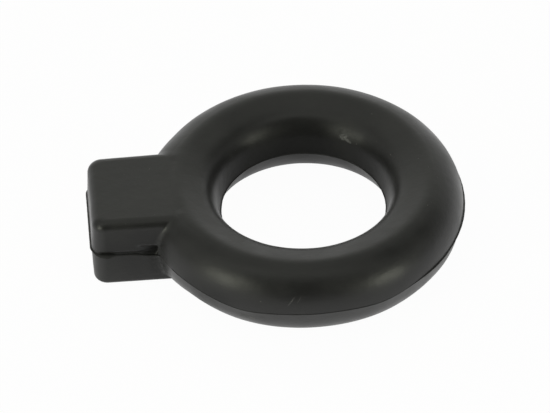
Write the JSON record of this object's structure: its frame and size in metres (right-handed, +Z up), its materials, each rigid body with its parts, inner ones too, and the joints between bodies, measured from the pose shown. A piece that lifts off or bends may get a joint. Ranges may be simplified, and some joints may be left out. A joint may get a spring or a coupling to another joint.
{
  "type": "exhaust hanger",
  "caption": "Moulded black rubber exhaust hanger: a thick round ring with a rectangular block on its rim and mould flash along its middle.",
  "frame": {"origin": "on the surface that the hanger lies on, under the middle of its length and width", "axes": "+X from the block towards the far side of the ring, +Y across the block, +Z up along the ring's axis"},
  "size_m": [0.0736, 0.0628, 0.0159],
  "materials": {
    "rubber": "moulded black rubber, satin, faintly mottled"
  },
  "bodies": {
    "root": {"rubber_hanger": "rubber"}
  },
  "joints": []
}
